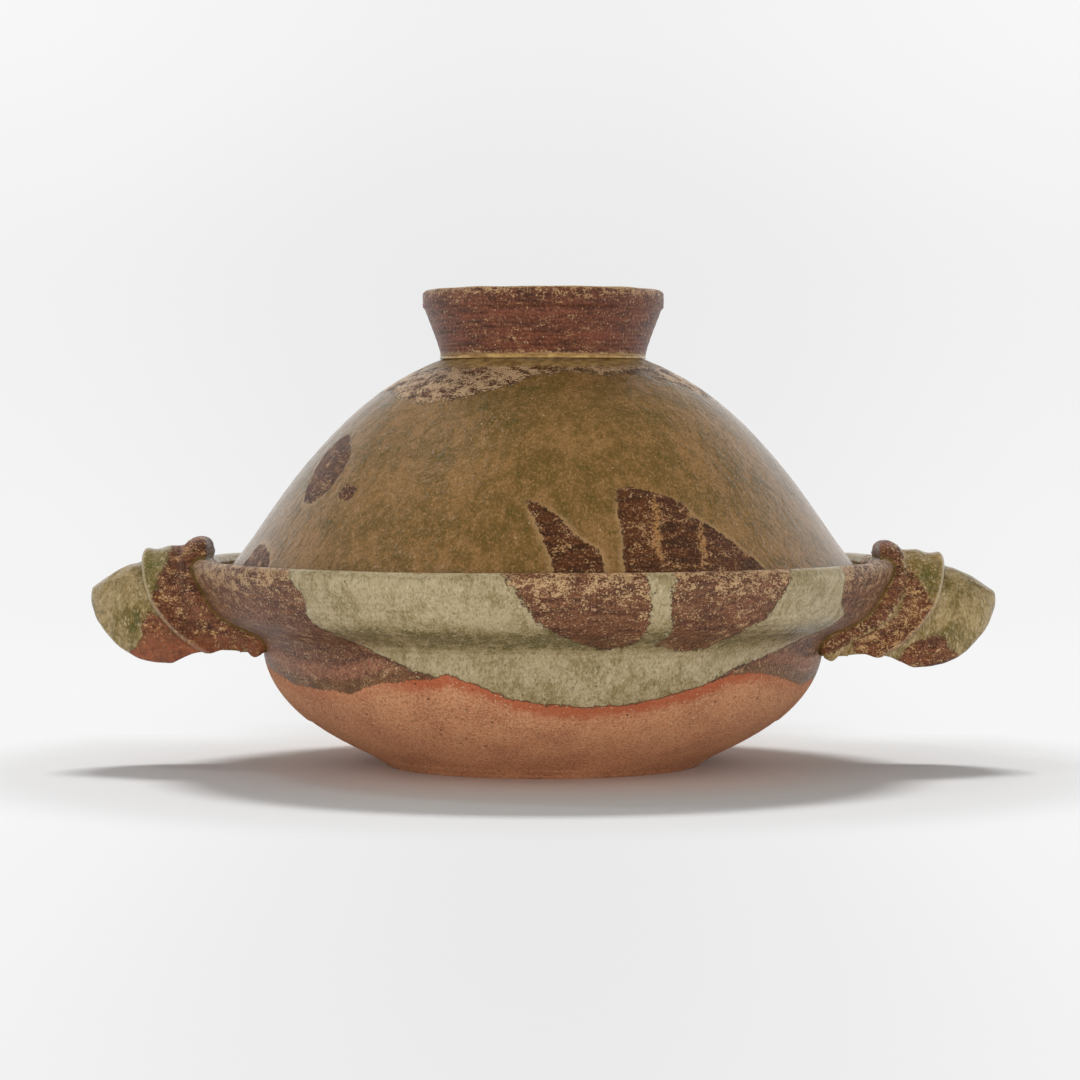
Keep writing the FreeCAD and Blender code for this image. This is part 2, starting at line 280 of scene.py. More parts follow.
# %% Group: iron glaze
iron_glaze, given, result = new_group(
    "Iron glaze",
    {
        "Brown": (120, 74, 52), "Dark": (78, 45, 30), "Mustard": (196, 146, 82), "Warm": (138, 76, 48),
        "Freckles": 0.3, "Cluster": 4.0, "Sand": 0.3},
    surface_outputs)
tree = iron_glaze
place = millimetres()
drawn = millimetres((0.3, 0.3, 1.4))
broad = cloud(place, 15.0, 3.0)
lines = cloud(drawn, 3.2, 4.0, 0.6, 0.3)
grit = cloud(place, 1.0, 4.0, 0.7)
cluster = put(
    "TexNoise", Vector=millimetres((0.8, 0.8, 1.15)), Scale=maths("DIVIDE", 1.0, given["Cluster"]),
    Detail=3.0, Roughness=0.6, Distortion=0.6).outputs["Fac"]
speck = cloud(millimetres((0.9, 0.9, 1.1)), 0.62, 2.0, 0.5)
crowd = sway(cluster, 2.8, given["Freckles"])
crowd = sway(broad, 0.8, crowd)
crowd = sway(lines, 0.7, crowd, clamp=True)
threshold = times_plus(crowd, -0.36, 0.72)
fleck = ramp(maths("SUBTRACT", speck, threshold), -0.04, 0.07)
sand = place_group(grains, Spacing=1.25, Share=given["Sand"], Radius=0.29)["Grain"]
colour = blend(ramp(lines, 0.36, 0.62), given["Dark"], given["Brown"])
colour = tint(colour, ramp(broad, 0.48, 0.64), 0.30, given["Warm"])
colour = tint(colour, ramp(grit, 0.49, 0.36), 0.72, (50, 28, 18))
colour = tint(colour, ramp(grit, 0.53, 0.64), 0.50, (176, 124, 88))
gold = blend(ramp(grit, 0.36, 0.62), given["Mustard"], blend(0.4, given["Mustard"], (240, 212, 168)))
colour = tint(colour, fleck, 0.82, gold)
colour = tint(colour, sand, 0.7, (226, 190, 146))
height = times_plus(fleck, 0.6, times(grit, 1.5))
give(
    result, Colour=colour, Roughness=between(fleck, ramp(grit, 0.35, 0.65, 0.52, 0.36), 0.28),
    Height=times_plus(sand, 0.6, height))

# %% [markdown]
# ## Ash glaze
# The green is a wood-ash glaze, thick and glassy, that crept down the wall as it melted. Thin,
# it lets the warm clay through. Thick, where it gathers under a ledge or along its lower edge,
# it turns green. It is curdled all over in spots of a millimetre or two, and it carries dark
# green dots and a few pale pinholes.

# %% Group: ash glaze
ash_glaze, given, result = new_group(
    "Ash glaze",
    {
        "Thin": (150, 116, 70), "Thick": (122, 98, 52), "Green": (88, 86, 40), "Pale": (186, 152, 106),
        "Depth": 0.4, "Curdle": 0.5, "Dots": 0.4},
    surface_outputs)
tree = ash_glaze
place = millimetres()
running = millimetres((1.2, 1.2, 0.65))
broad = cloud(place, 17.0, 3.0, 0.55)
patch = cloud(running, 4.6, 3.0, 0.6, 0.4)
curd = cloud(running, 1.25, 3.0, 0.62, 0.3)
fine = cloud(running, 1.0, 3.0, 0.6)
depth = sway(broad, 1.7, given["Depth"])
depth = sway(patch, 1.5, depth)
depth = sway(curd, given["Curdle"], depth)
colour = blend(ramp(depth, 0.0, 0.7), given["Thin"], given["Thick"])
colour = blend(ramp(depth, 0.66, 1.1, 0.0, 0.9), colour, given["Green"])
pale = times(ramp(curd, 0.52, 0.68), ramp(patch, 0.56, 0.44))
colour = blend(times(pale, given["Curdle"]), colour, given["Pale"])
colour = tint(colour, ramp(fine, 0.52, 0.66), 0.50, given["Pale"])
colour = tint(colour, ramp(fine, 0.48, 0.35), 0.50, given["Green"])
dot = place_group(grains, Spacing=2.7, Share=times(given["Dots"], 0.35), Radius=0.17)["Grain"]
speck = times(ramp(cloud(place, 0.9, 3.0, 0.6), 0.58, 0.66), given["Dots"])
colour = tint(colour, maths("MAXIMUM", dot, speck), 0.7, (54, 56, 30))
pinhole = place_group(grains, Spacing=2.6, Share=0.12, Radius=0.12)["Grain"]
colour = tint(colour, pinhole, 0.7, (224, 204, 168))
height = times_plus(patch, 2.6, times(curd, 1.2))
give(result, Colour=colour, Roughness=ramp(curd, 0.3, 0.75, 0.11, 0.22), Height=times_plus(dot, -0.4, height))

# %% [markdown]
# ## Throwing lines
# Fingertips leave a shallow screw of ridges in a thrown wall. The large ones are real geometry
# further down. This group adds the finer combing, as level rings that waver and fade in and out.

# %% Group: throwing lines
throwing_lines, given, result = new_group("Throwing lines", {"Spacing": 2.4}, {"Height": "Float"})
tree = throwing_lines
level = put("SeparateXYZ", Vector=millimetres()).outputs["Z"]
level = times_plus(cloud(millimetres(), 40.0, 1.0), 3.0, level)
turn = times(maths("DIVIDE", level, given["Spacing"]), 2 * math.pi)
ring = times_plus(maths("SINE", turn), 0.5, 0.5)
rings_seen = cloud(millimetres((0.15, 0.15, 1.0)), 9.0, 2.0)
give(result, Height=times(ring, ramp(rings_seen, 0.35, 0.65)))

# %% [markdown]
# ## Turning the round pieces again
# The pot, the dome, the knob and the band of clay in the neck were all made on a wheel. The
# construction model already holds their exact profile, so each one is cut through its axis, the
# cut line is taken as the potter's rib would follow it, and the piece is turned again with even
# rows and columns. That gives a mesh that can carry ridges, dents and glaze edges.

# %% Take a profile from a construction piece
def cut_profile(node, spacing):
    """The outline of a turned piece on its +X side, as evenly spaced (radius, height) in millimetres."""
    mesh = bmesh.new()
    mesh.from_mesh(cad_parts[node].data)
    bmesh.ops.remove_doubles(mesh, verts=mesh.verts, dist=1e-6)
    cut = bmesh.ops.bisect_plane(
        mesh, geom=mesh.verts[:] + mesh.edges[:] + mesh.faces[:], dist=1e-7, plane_co=(0, 0, 0),
        plane_no=(0, 1, 0))["geom_cut"]
    edges = [piece for piece in cut if isinstance(piece, bmesh.types.BMEdge)]
    neighbours = {}
    for edge in edges:
        first, second = sorted((vert.co.copy() for vert in edge.verts), key=lambda point: point.x)
        if second.x < 1e-6:
            continue
        if first.x < 0:
            first = first.lerp(second, -first.x / (second.x - first.x))
        ends = [tuple(round(value, 7) for value in point) for point in (first, second)]
        if ends[0] == ends[1]:
            continue
        neighbours.setdefault(ends[0], set()).add(ends[1])
        neighbours.setdefault(ends[1], set()).add(ends[0])
    mesh.free()
    tips = [point for point, near in neighbours.items() if len(near) == 1]
    start = min(tips or neighbours, key=lambda point: (point[2], -point[0]))
    path, seen = [start], {start}
    while True:
        onward = [point for point in neighbours[path[-1]] if point not in seen]
        if not onward:
            break
        step = max(onward, key=lambda point: point[0]) if len(path) == 1 else onward[0]
        path.append(step)
        seen.add(step)
    if not tips:
        path.append(start)
    line = np.array([(point[0], point[2]) for point in path]) * 1000.0
    along = np.concatenate([[0], np.cumsum(np.hypot(*np.diff(line, axis=0).T))])
    count = int(round(along[-1] / spacing))
    places = np.linspace(0, along[-1], count + 1)
    return np.column_stack(
        [np.interp(places, along, line[:, 0]), np.interp(places, along, line[:, 1])]), bool(tips)


def soften(values, reach):
    """A running average along the rows of a table."""
    kernel = np.hanning(2 * reach + 3)[1:-1]
    kernel /= kernel.sum()
    padded = np.concatenate([values[:1].repeat(reach, 0), values, values[-1:].repeat(reach, 0)])
    return np.column_stack([np.convolve(padded[:, i], kernel, "valid") for i in range(values.shape[1])])


def noise_at(points, size, seed):
    """Soft noise between about -1 and 1 at each point, with lumps of the given size in millimetres."""
    total = np.zeros(len(points))
    for octave, strength in ((0, 1.0), (1, 0.5)):
        scaled = points * (2 ** octave / size) + np.array([seed * 17.3, seed * 5.1, octave * 31.7])
        total += strength * np.array([noise.noise(point) for point in scaled])
    return total


def wheel_noise(angle, height, waves, seed, height_size):
    """Cheap smooth unevenness round a turned piece: a few waves round it that drift with height."""
    rng = np.random.default_rng(seed)
    total = np.zeros_like(angle)
    for wave in waves:
        phase, drift, bend = rng.uniform(0, 2 * math.pi), rng.uniform(-1, 1), rng.uniform(0.6, 1.4)
        total += np.sin(
            wave * angle + phase + drift * height / height_size + np.sin(height / height_size * bend + phase))
    return total / len(waves)


def bridged(outline, from_radius, to_radius):
    """Runs the profile straight over the narrow fold where a pot's wall turns into its floor."""
    after_rim = np.arange(len(outline)) > outline[:, 1].argmax()
    first = np.flatnonzero(after_rim & (outline[:, 0] <= from_radius))[0]
    last = np.flatnonzero(after_rim & (outline[:, 0] >= to_radius))[-1]
    outline[first:last + 1] = np.linspace(outline[first], outline[last], last + 1 - first)
    return outline


def turn_piece(name, node, spacing, columns, change, bridge=None):
    """Turns a construction piece's profile. change gives each point's move along its normal, in mm."""
    outline, open_ended = cut_profile(node, spacing)
    if bridge:
        outline = bridged(outline, *bridge)
    tangent = np.gradient(outline, axis=0)
    tangent = soften(tangent, 2)
    tangent /= np.linalg.norm(tangent, axis=1)[:, None]
    normal = np.column_stack([tangent[:, 1], -tangent[:, 0]])
    rows = len(outline) if open_ended else len(outline) - 1
    angle = np.linspace(0, 2 * math.pi, columns, endpoint=False)
    radius = np.repeat(outline[:rows, 0], columns)
    height = np.repeat(outline[:rows, 1], columns)
    turn = np.tile(angle, rows)
    facing = np.repeat(normal[:rows], columns, axis=0)
    along = np.repeat(np.arange(rows) * spacing, columns)
    moved = change(radius, height, turn, facing, along)
    new_radius = np.maximum(radius + facing[:, 0] * moved, 0.0)
    new_height = height + facing[:, 1] * moved
    points = np.column_stack([new_radius * np.sin(turn), -new_radius * np.cos(turn), new_height]) * mm
    faces = []
    last = rows - 1 if open_ended else rows
    for row in range(last):
        low, high = row * columns, ((row + 1) % rows) * columns
        for column in range(columns):
            onward = (column + 1) % columns
            faces.append((low + column, low + onward, high + onward, high + column))
    mesh = bpy.data.meshes.new(name)
    mesh.from_pydata(points.tolist(), [], faces)
    tidy = bmesh.new()
    tidy.from_mesh(mesh)
    bmesh.ops.remove_doubles(tidy, verts=tidy.verts, dist=2e-6)
    bmesh.ops.recalc_face_normals(tidy, faces=tidy.faces)
    tidy.to_mesh(mesh)
    tidy.free()
    mesh.polygons.foreach_set("use_smooth", np.ones(len(mesh.polygons), bool))
    piece = bpy.data.objects.new(name, mesh)
    bpy.context.scene.collection.objects.link(piece)
    print(name, "faces:", len(mesh.polygons), "profile length, mm:", round(len(outline) * spacing))
    return piece


def places_on(piece):
    """Each point's angle from the front (degrees, towards +X), height, radius and coordinates, in mm."""
    count = len(piece.data.vertices)
    flat = np.empty(count * 3)
    piece.data.vertices.foreach_get("co", flat)
    points = flat.reshape(-1, 3) * 1000.0
    azimuth = np.degrees(np.arctan2(points[:, 0], -points[:, 1]))
    return azimuth, points[:, 2], np.hypot(points[:, 0], points[:, 1]), points


def write_values(piece, **columns):
    """Stores numbers for each point, which the material reads by name."""
    for name, values in columns.items():
        attribute = piece.data.attributes.new(name, "FLOAT", "POINT")
        attribute.data.foreach_set("value", np.asarray(values, np.float32))


# %% [markdown]
# ## The pot
# Its wall gets a slow unevenness of a few tenths of a millimetre, and a screw of shallow
# ridges that is strongest on the collar, where the last pull of the fingers showed. The foot,
# the gallery and the places under the handles stay true, so that everything still meets.

# %% Turn the pot
def steps(value, low, high):
    """0 below low, 1 above high, and a smooth rise in between."""
    share = np.clip((value - low) / (high - low), 0, 1)
    return share * share * (3 - 2 * share)


def screw(along, turn, pitch, shift=0.0):
    """A ridge that winds round the piece once for every pitch millimetres, from -1 to 1."""
    return np.sin(2 * math.pi * along / pitch + turn + shift)


def pot_change(radius, height, turn, facing, along):
    outside = (facing[:, 0] > 0.05) & (height > 3)
    near_handle = np.abs(np.sin(turn)) * (radius > 95)
    free = 1 - steps(near_handle, 0.90, 0.95)
    ridges = screw(
        height, turn, pitch=5.2, shift=0.3 * math.pi * np.sin(2 * turn)) * (0.1 + 0.8 * steps(height, 50, 66))
    fine = screw(height, turn, pitch=2.1, shift=1.3 * np.sin(3 * turn)) * steps(height, 40, 50)
    slow = wheel_noise(turn, height, (2, 3, 5, 8), 4, 25.0)
    change = -0.35 + 0.10 * ridges + 0.04 * fine + 0.25 * slow
    wavering = -0.25 + 0.2 * wheel_noise(turn, height, (3, 4, 7, 11), 9, 40.0)
    on_rim = steps(height, 79, 82)
    change = change * (1 - on_rim) + wavering * on_rim
    return np.where(outside | (height > 79), np.minimum(change, -0.02) * free, 0.0)


pot = turn_piece("pot_bowl_thrown", "pot_bowl", spacing=1.15, columns=440, change=pot_change, bridge=(50, 38))

# %% [markdown]
# ## The lid
# The dome was thrown like a bowl and then turned over. It carries wider and softer ridges than
# the pot, because the thick glaze has filled them. The steam hole goes through its shoulder at
# the back.

# %% Turn the dome, the knob and the band in the neck
def dome_change(radius, height, turn, facing, along):
    outside = (facing[:, 1] > 0.15) & (height > 73.5)
    ridges = screw(along, turn, pitch=8.0)
    slow = wheel_noise(turn, height, (2, 3, 4, 7), 21, 30.0)
    lumps = wheel_noise(turn, along, (13, 19, 29, 41), 5, 6.0)
    change = -0.45 + 0.025 * ridges + 0.35 * slow + 0.07 * lumps
    return np.where(outside, np.minimum(change, -0.02) * steps(height, 73.5, 78), 0.0)


def knob_change(radius, height, turn, facing, along):
    outside = facing[:, 0] > 0.05
    rings = np.sin(2 * math.pi * (height + 0.5 * turn) / 3.3) * 0.6 + np.sin(2 * math.pi * height / 1.4) * 0.4
    slow = wheel_noise(turn, height, (2, 3, 5, 9), 31, 9.0)
    change = -0.32 + 0.06 * rings + 0.18 * slow
    at_top = steps(height, 185.5, 188.5)
    lip = -0.3 + 0.28 * wheel_noise(turn, height, (2, 5, 9, 14), 13, 50.0)
    change = change * (1 - at_top) + lip * at_top
    return np.where(outside | (height > 185), np.minimum(change, -0.02) * steps(height, 162, 165), 0.0)


def neck_change(radius, height, turn, facing, along):
    tucked = 0.8 * steps(height, 163.4, 165.0)
    return np.where(
        facing[:, 0] > 0.2, 0.2 * wheel_noise(turn, height, (3, 7, 12, 19), 17, 4.0) - tucked, 0.0)


dome = turn_piece("lid_dome_thrown", "lid_dome", spacing=1.15, columns=420, change=dome_change)
knob = turn_piece("lid_knob_ring_thrown", "lid_knob_ring", spacing=0.5, columns=300, change=knob_change)
neck = turn_piece("lid_neck_band", "lid_knob_joint_coil", spacing=0.45, columns=300, change=neck_change)

hole_radius, hole_from_axis = 4.7, 78.0
hole_low, hole_high = 100.0, 165.0
bpy.ops.mesh.primitive_cylinder_add(
    vertices=64, radius=hole_radius * mm, depth=(hole_high - hole_low) * mm,
    location=(0, hole_from_axis * mm, (hole_low + hole_high) / 2 * mm))
drill = bpy.context.object
boring = dome.modifiers.new("steam hole", "BOOLEAN")
boring.object = drill
boring.operation = "DIFFERENCE"
boring.solver = "EXACT"
bpy.context.view_layer.objects.active = dome
bpy.ops.object.modifier_apply(modifier=boring.name)
bpy.data.objects.remove(drill)
print("dome with its hole, faces:", len(dome.data.polygons))

# %% [markdown]
# ## The handles
# Each handle is a flap of clay folded over two fingers, with a second flap wrapped round its
# root and a roll of clay pressed in where it meets the pot. The three construction pieces of a
# handle are copied, rebuilt as an even skin of small facets, and then smoothed, which rounds
# their edges as wet clay would. Noise along the skin's normals gives the dents of fingers.

# %% Model the soft handle pieces
def smooth_skin(piece, times):
    bpy.context.view_layer.objects.active = piece
    soft = piece.modifiers.new("soft", "SMOOTH")
    soft.factor = 0.5
    soft.iterations = times
    bpy.ops.object.modifier_apply(modifier=soft.name)


def soft_copy(name, node, facet, smoothing):
    """A copy of a construction piece with an even skin and soft edges."""
    copy = bpy.data.objects.new(name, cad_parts[node].data.copy())
    bpy.context.scene.collection.objects.link(copy)
    bpy.context.view_layer.objects.active = copy
    copy.data.materials.clear()
    merged = bmesh.new()
    merged.from_mesh(copy.data)
    bmesh.ops.remove_doubles(merged, verts=merged.verts, dist=1e-6)
    merged.to_mesh(copy.data)
    merged.free()
    skin = copy.modifiers.new("skin", "REMESH")
    skin.mode = "VOXEL"
    skin.voxel_size = facet * mm
    skin.use_smooth_shade = True
    bpy.ops.object.modifier_apply(modifier=skin.name)
    smooth_skin(copy, smoothing)
    return copy


far_outside = -25.0   # the number for a point that lies well outside an outline


def distance_inside(loop, across, up):
    """How far inside a closed outline each point lies, in mm; negative outside."""
    result = np.full(len(across), far_outside)
    low, high = loop.min(0) + far_outside, loop.max(0) - far_outside
    near = (across > low[0]) & (across < high[0]) & (up > low[1]) & (up < high[1])
    x, y = across[near], up[near]
    nearest = np.full(len(x), 1e9)
    inside = np.zeros(len(x), bool)
    for (ax, ay), (bx, by) in zip(loop, np.roll(loop, -1, 0)):
        dx, dy = bx - ax, by - ay
        share = np.clip(((x - ax) * dx + (y - ay) * dy) / (dx * dx + dy * dy + 1e-12), 0, 1)
        nearest = np.minimum(nearest, (x - ax - share * dx) ** 2 + (y - ay - share * dy) ** 2)
        if abs(dy) > 1e-9:
            inside ^= ((ay > y) != (by > y)) & (x < (y - ay) * dx / dy + ax)
    found = np.sqrt(nearest)
    result[near] = np.maximum(np.where(inside, found, -found), far_outside)
    return result


def search_of(piece):
    """A way to ask for the nearest point on a piece."""
    mesh = piece.data
    return BVHTree.FromPolygons(
        [vert.co for vert in mesh.vertices], [tuple(face.vertices) for face in mesh.polygons])


reach = 8.0   # distances to a neighbour are measured up to this many millimetres


def distance_to(piece, search):
    """Each point's distance to another piece, in mm and never more than reach."""
    far = np.full(len(piece.data.vertices), reach)
    for index, vert in enumerate(piece.data.vertices):
        distance = search.find_nearest(vert.co, reach * mm)[3]
        if distance is not None:
            far[index] = distance / mm
    return far


def bell(value, middle, width):
    return np.exp(-((value - middle) / width) ** 2)


def side_distance(outline, points, lift):
    """How far inside a free edge each point lies in the side view. Both handles are read as the right one."""
    return distance_inside(np.array(outline, float), np.abs(points[:, 0]), points[:, 2] - lift)


def press(piece, part, seed, lift):
    """Works the skin as fingers would: dents, a raised lip, a rounded roll and a valley between them."""
    points = places_on(piece)[-1]
    normals = np.empty(len(points) * 3)
    piece.data.vertices.foreach_get("normal", normals)
    normals = normals.reshape(-1, 3)
    in_wrap = side_distance(wrap_edge, points, lift)
    in_coil = side_distance(coil_edge, points, lift)
    dents = noise_at(points, 9.0, seed) * 0.5 - 0.5
    if part == "hood":
        move = 0.7 * dents - 0.35 * bell(in_wrap, -2.5, 2.0)
    elif part == "wrap":
        move = 0.3 * dents + 0.75 * bell(in_wrap, 1.3, 1.5) - 0.75 * bell(in_wrap, 6.0, 3.0)
        move = move - 0.9 * bell(in_coil, -2.0, 3.2)
    else:
        move = 0.35 * dents + 0.35 * bell(in_coil, 5.0, 2.5) - 0.7 * bell(in_coil, 0.0, 1.7)
    points = points + normals * move[:, None]
    piece.data.vertices.foreach_set("co", (points * mm).ravel())
    piece.data.update()


def bed_down(piece, search):
    """Pushes the skin that lies close to the pot a little way into it, so that no gap shows in the seam."""
    near, sink = 1.7, 0.8
    for vert in piece.data.vertices:
        place, normal, face, distance = search.find_nearest(vert.co, near * mm)
        if place is None:
            continue
        above = (vert.co - place).dot(normal)
        if above > -0.2 * mm:
            vert.co -= normal * (max(above, 0.0) + sink * mm * (1 - distance / (near * mm)))
    piece.data.update()


# The free edges of the wrap and of the root coil in the side view: out from the axis, and height
wrap_edge = [
    (100, 100), (159.6, 100), (159.4, 80), (157.8, 72), (154.8, 64), (149.3, 56.5), (143.8, 51),
    (137.5, 46.5), (126, 40), (100, 30)]
coil_edge = [
    (100, 100), (131, 93), (137.5, 90.4), (141.4, 88.6), (143.6, 85), (144.2, 79), (143.3, 72), (140.5, 64.5),
    (132.5, 55.5), (124.5, 51), (119, 47), (116.6, 43.8), (113.5, 41.6), (100, 41)]
lift_of = {"right": 0.0, "left": 1.6}

pot_search = search_of(pot)
handle_pieces = {}
skin_facet = 0.75
for side in ("right", "left"):
    for part, smoothing in (("hood", 6), ("wrap", 3), ("root_coil", 7)):
        node = "handle_" + side + "_" + part
        piece = soft_copy(node + "_clay", node, skin_facet, smoothing)
        press(piece, part, len(handle_pieces) + 3, lift_of[side])
        if part == "root_coil":
            smooth_skin(piece, 5)
        bed_down(piece, pot_search)
        handle_pieces[side, part] = piece
        print(piece.name, "faces:", len(piece.data.polygons))

# %% Put every piece on its body
for piece, node, body, slot in (
        (pot, "pot_bowl", "pot", "pot_clay"), (dome, "lid_dome", "lid", "lid_glaze"),
        (knob, "lid_knob_ring", "lid", "knob_glaze"), (neck, "lid_knob_joint_coil", "lid", "neck_glaze")):
    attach(piece, body)
    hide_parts(node)
for (side, part), piece in handle_pieces.items():
    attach(piece, "pot")
    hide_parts("handle_" + side + "_" + part)

# %% [markdown]
# ## Where each glaze went
# The pot and the lid were first given a thin iron glaze, and then a thicker ash glaze was ladled
# over them. The ladle missed some places, which stay brown like windows in the green, and on
# the belly both glazes stop above the bare clay. Each outline below is a handful of points:
# degrees round the piece from its front, and height in millimetres. A smooth closed curve runs
# through them, and every point of the mesh gets its distance inside that curve.

# %% Outlines into distances
def rounded_loop(points):
    """A closed smooth curve through the points, in seven short straight steps from each to the next."""
    points = np.array(points, float)
    before, after, beyond = np.roll(points, 1, 0), np.roll(points, -1, 0), np.roll(points, -2, 0)
    loop = []
    for share in np.linspace(0, 1, 7, endpoint=False):
        curve = 2 * points + (after - before) * share
        curve = curve + (2 * before - 5 * points + 4 * after - beyond) * share ** 2
        loop.append(0.5 * (curve + (3 * points - before - 3 * after + beyond) * share ** 3))
    return np.stack(loop, 1).reshape(-1, 2)


def region(outlines, azimuth, height, radius):
    """The greatest distance inside any of several outlines, for a piece of about the given radius."""
    per_degree = math.pi / 180 * radius
    best = np.full(len(azimuth), far_outside)
    for outline in outlines:
        loop = rounded_loop(outline) * np.array([per_degree, 1.0])
        middle = loop[:, 0].mean() / per_degree
        around = (azimuth - middle + 180) % 360 - 180 + middle
        best = np.maximum(best, distance_inside(loop, around * per_degree, height))
    return best


def height_of(line, azimuth):
    """The height of a line that runs round a piece, at each angle."""
    return np.interp(azimuth, *np.array(line).T)


def turned_copy(outline, by, stretch, lift):
    """The same kind of pour on another side of the piece: moved round, stretched and raised."""
    middle = sum(point[0] for point in outline) / len(outline)
    return [((point[0] - middle) * stretch + middle + by, point[1] + lift) for point in outline]


# %% The pours on the pot
pot_ash_front = [
    (-40, 90), (-40.6, 71), (-41, 63), (-37, 54.5), (-28.5, 46), (-14, 38), (-2.5, 30.5), (8.5, 28.5),
    (19.5, 30), (28, 33.5), (40.5, 44), (55.5, 51.5), (60.5, 61), (56.5, 69.5), (54, 80), (54, 90), (8, 94)]
pot_ash = [
    pot_ash_front, turned_copy(pot_ash_front, 168, 1.15, 1.0),
    [(104, 90), (103, 70), (109, 58), (117, 52), (124, 60), (125, 78), (124, 90)],
    [(-128, 90), (-129, 66), (-118, 55), (-107, 50), (-97, 60), (-96, 76), (-98, 90)]]
window_one = [
    (-6.2, 88), (-5.6, 80), (-4.2, 76), (-2.3, 69), (0.3, 62), (8.3, 54.3), (13.9, 53.7), (16.4, 57.8),
    (16.9, 69), (15.7, 80), (15.7, 88)]
window_two = [
    (20.6, 88), (20.3, 80), (19.9, 72), (21.4, 60), (20.9, 54.6), (30.7, 51.9), (35.5, 59.8), (38.9, 65.3),
    (40.5, 76.5), (41, 88)]
pot_windows = [
    window_one, window_two, turned_copy(window_one, 150, 1.3, 3.0), turned_copy(window_two, 168, 1.1, -1.0)]
bare_line = [
    (-180, 38), (-160, 41), (-140, 36), (-118, 33), (-98, 40), (-85, 43), (-72, 39), (-63, 35.8), (-52, 34.5),
    (-42.5, 34.3), (-33.7, 39), (-22.3, 41), (-19.1, 43.1), (-12.3, 39.2), (-6.5, 34.3), (1.3, 31.7),
    (8.4, 30.8), (19.7, 32.3), (30.2, 36.6), (39.4, 41.6), (48.5, 41.8), (67.5, 34.4), (84, 36), (98, 41),
    (120, 42), (140, 35), (160, 32), (180, 38)]

azimuth, height, radius, points = places_on(pot)
under_foot = (height < 5) & (radius < 75)
outside_height = (0, 1.6, 10.1, 19.8, 34.4, 47, 57.8, 65.1, 75, 80)
outside_radius = (62, 64.5, 81.6, 96.2, 108.2, 111.8, 123.5, 132.6, 137.4, 140)
outside = (radius > np.interp(height, outside_height, outside_radius) - 3.6) | (height > 79)
glazed_level = 66.0   # inside the pot, the ash glaze covers everything below this height
bare = np.where(outside, height_of(bare_line, azimuth) - height, far_outside)
seam = np.full(len(height), reach)
by_handles = (np.abs(points[:, 0]) > 100) & (height > 38) & outside
close = [search_of(piece) for piece in handle_pieces.values()]
for index in np.flatnonzero(by_handles):
    far = [search.find_nearest(pot.data.vertices[index].co, reach * mm)[3] for search in close]
    seam[index] = min([distance / mm for distance in far if distance is not None] + [reach])
well_inside = 20.0
below = glazed_level - height
ash, window = region(pot_ash, azimuth, height, 132.0), region(pot_windows, azimuth, height, 134.0)
write_values(
    pot, ash=np.where(outside, ash, np.maximum(ash, np.minimum(below, 12.0))),
    window=np.where(outside, window, np.maximum(np.minimum(window, -below), far_outside)),
    bare=np.where(under_foot, well_inside, bare), seam=seam,
    level=np.where(outside, height, np.maximum(height, 60.0)))
print("pot: points on the outside:", int(outside.sum()), "of", len(outside))
print("pot: points beside the handles:", int(by_handles.sum()))

# %% The pours on the lid
lid_window_a = [
    (-3.5, 108.3), (2.5, 102.1), (7.1, 93.1), (10.2, 89.1), (10.6, 82), (11, 66), (1.6, 66), (1.8, 82.8),
    (0.1, 93.1), (-1.6, 101)]
lid_window_b = [
    (16.1, 111.5), (21.6, 111.8), (29.3, 106.5), (30.8, 101.7), (35, 96.8), (39.7, 88.1), (42.4, 82.1),
    (44, 66), (14, 66), (14.2, 82.6), (14.9, 93.7), (15.2, 105.7)]
lid_streaks = [
    [(23.6, 109), (24, 106), (23.4, 100), (22, 91), (21.4, 84), (20.8, 90), (21.8, 101)],
    [(32.6, 101), (32.2, 97), (31.2, 91), (30.6, 85), (29.8, 88), (30.6, 94)]]
lid_left_patches = [
    [
        (-60.5, 105.4), (-65.9, 114.1), (-69.4, 125.8), (-63.9, 131.7), (-55.1, 124.1), (-53.4, 114.5),
        (-55.8, 107.7)],
    [(-49, 108.5), (-48.8, 112.7), (-44.6, 111.2), (-45.4, 107.2)],
    [(-70.5, 70), (-71.2, 86), (-68, 89), (-60.3, 84), (-58, 70)]]
lid_windows = [
    lid_window_a, lid_window_b, *lid_left_patches, turned_copy(lid_window_b, 140, 1.2, -3.0),
    turned_copy(lid_window_a, -128, 1.5, 4.0), turned_copy(lid_window_b, 205, 0.8, 5.0)]
crown_line = [
    (-180, 154), (-150, 149), (-120, 153), (-90, 147), (-66, 149.2), (-52, 146), (-38.3, 144.2), (-28.1, 146),
    (-15.4, 150.2), (-8.8, 152.6), (-1.4, 155.5), (12.2, 156.3), (25, 155.4), (44.2, 156.5), (60, 152),
    (70, 146.4), (90, 149), (125, 155), (150, 149), (180, 154)]

azimuth, height, radius, points = places_on(dome)
top_side = radius > np.interp(height, (71, 85, 109, 130, 150, 161, 167), (124, 116, 99, 83, 61, 40, 4))
write_values(
    dome, window=np.where(top_side, region(lid_windows, azimuth, height, 108.0), far_outside),
    streak=np.where(top_side, region(lid_streaks, azimuth, height, 108.0), far_outside),
    crown=np.where(top_side, height - height_of(crown_line, azimuth), far_outside), level=height)

